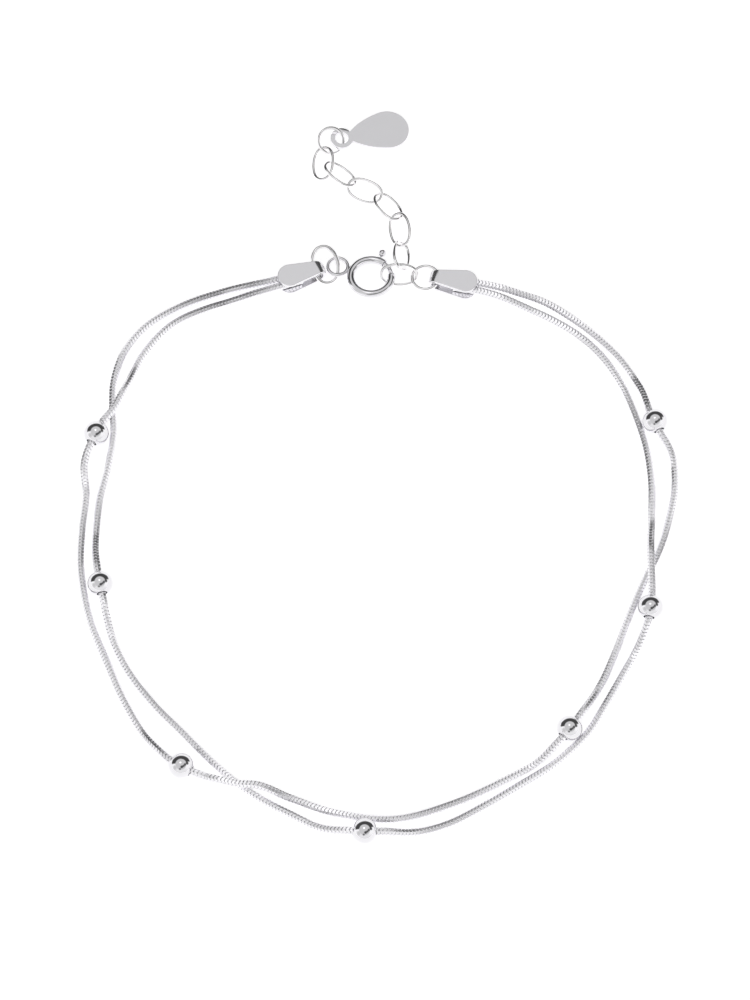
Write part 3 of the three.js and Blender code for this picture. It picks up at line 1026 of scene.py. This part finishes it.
# %% Table
TABLE_SIZE = 3
TABLE_GAP = 0.02
bpy.ops.object.select_all(action="DESELECT")
bpy.ops.mesh.primitive_plane_add(size=TABLE_SIZE, location=(0, 0, -TABLE_GAP * MM))
table = named(bpy.context.object, "table")
table_white, tree = new_material("white_card")
place = add(tree, "ShaderNodeTexCoord").outputs["Object"]
fibres = add(tree, "ShaderNodeTexNoise", {"Vector": place, "Scale": 400, "Detail": 4})
tone = add(
    tree,
    "ShaderNodeMix",
    {"Factor": fibres.outputs["Fac"], "A": linear("#EDEDED"), "B": linear("#F1F1F1")},
    data_type="RGBA",
)
card = add(
    tree,
    "ShaderNodeBsdfPrincipled",
    {
        "Base Color": tone.outputs["Result"],
        "Roughness": 0.9,
        "Specular IOR Level": 0.1,
        "Emission Color": linear("#FFFFFF"),
        "Emission Strength": 0.6,
    },
)
add(tree, "ShaderNodeOutputMaterial", {"Surface": card.outputs["BSDF"]})
table.data.materials.append(table_white)
table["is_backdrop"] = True

# %% [markdown]
# ## Light
# Polished metal shows its surroundings, so the light is drawn as a room, white as a light
# tent is. `turn` is measured from the far side towards the right, and `height` up from the
# table. Behind the bracelet a dark band stands above the white sweep of the table, and
# overhead is a round light, which the flat sheet mirrors as grey. The photographer leans in
# from the right: arm, hand, strap and camera are dark spots, as the beads show them. Each
# patch is a circle of directions with a soft edge, painted over the last.

# %% The room as light
ROOM_WHITE = 1.12
SEEN_WHITE = 0.97  # what the camera sees past the table's edge
PATCHES = [
    {"what": "near wall", "turn": 180, "height": 5, "radius": 50, "soft": 18, "level": 0.95},
    {"what": "near left", "turn": -118, "height": 22, "radius": 16, "soft": 8, "level": 0.70},
    {"what": "dark wall behind", "turn": -9, "height": 12, "radius": 72, "soft": 4, "level": 0.07},
    {"what": "white sweep behind", "turn": -9, "height": -60, "radius": 70, "soft": 2, "level": 1.0},
    {"what": "round light above", "turn": 180, "height": 83, "radius": 50, "soft": 3, "level": 0.70},
    {"what": "its bulb", "turn": -30, "height": 81, "radius": 6, "soft": 5, "level": 1.6},
    {"what": "photographer's arm", "turn": 78, "height": 33, "radius": 13, "soft": 3, "level": 0.10},
    {"what": "and its hand", "turn": 101, "height": 52, "radius": 11, "soft": 3, "level": 0.12},
    {"what": "camera strap", "turn": 132, "height": 57, "radius": 10, "soft": 3, "level": 0.12},
    {"what": "camera", "turn": 165, "height": 57, "radius": 12, "soft": 3, "level": 0.08},
    {"what": "photographer", "turn": -170, "height": 38, "radius": 8, "soft": 4, "level": 0.16},
]
world = bpy.data.worlds.new("light_tent")
bpy.context.scene.world = world
world.use_nodes = True
tree = world.node_tree
tree.nodes.clear()
look = add(tree, "ShaderNodeTexCoord").outputs["Generated"]
level = ROOM_WHITE
for patch in PATCHES:
    turn, height = math.radians(patch["turn"]), math.radians(patch["height"])
    flat = math.cos(height)
    middle = (math.sin(turn) * flat, math.cos(turn) * flat, math.sin(height))
    nearness = add(tree, "ShaderNodeVectorMath", {0: look, 1: middle}, operation="DOT_PRODUCT")
    edge = add(
        tree,
        "ShaderNodeMapRange",
        {
            "Value": nearness.outputs["Value"],
            "From Min": math.cos(math.radians(patch["radius"] + patch["soft"])),
            "From Max": math.cos(math.radians(patch["radius"] - patch["soft"])),
        },
        interpolation_type="SMOOTHSTEP",
    )
    blend = add(
        tree,
        "ShaderNodeMix",
        {"Factor": edge.outputs["Result"], "A": level, "B": patch["level"]},
        data_type="FLOAT",
    )
    level = blend.outputs["Result"]
seen = add(tree, "ShaderNodeLightPath").outputs["Is Camera Ray"]
shown = add(
    tree, "ShaderNodeMix", {"Factor": seen, "A": level, "B": SEEN_WHITE}, data_type="FLOAT"
)
sky = add(
    tree, "ShaderNodeBackground", {"Color": (1, 1, 1, 1), "Strength": shown.outputs["Result"]}
)
add(tree, "ShaderNodeOutputWorld", {"Surface": sky.outputs["Background"]})
bpy.context.scene.view_settings.view_transform = "Standard"

# %% [markdown]
# ## The size at the end
# The box of the solids and the box of the dressed bracelet are both printed.

# %% Sizes of both boxes
dressed_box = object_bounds()
for name, box in (("solids", cad_box), ("dressed", dressed_box)):
    print(name, [round(c / MM, 2) for corner in box for c in corner])
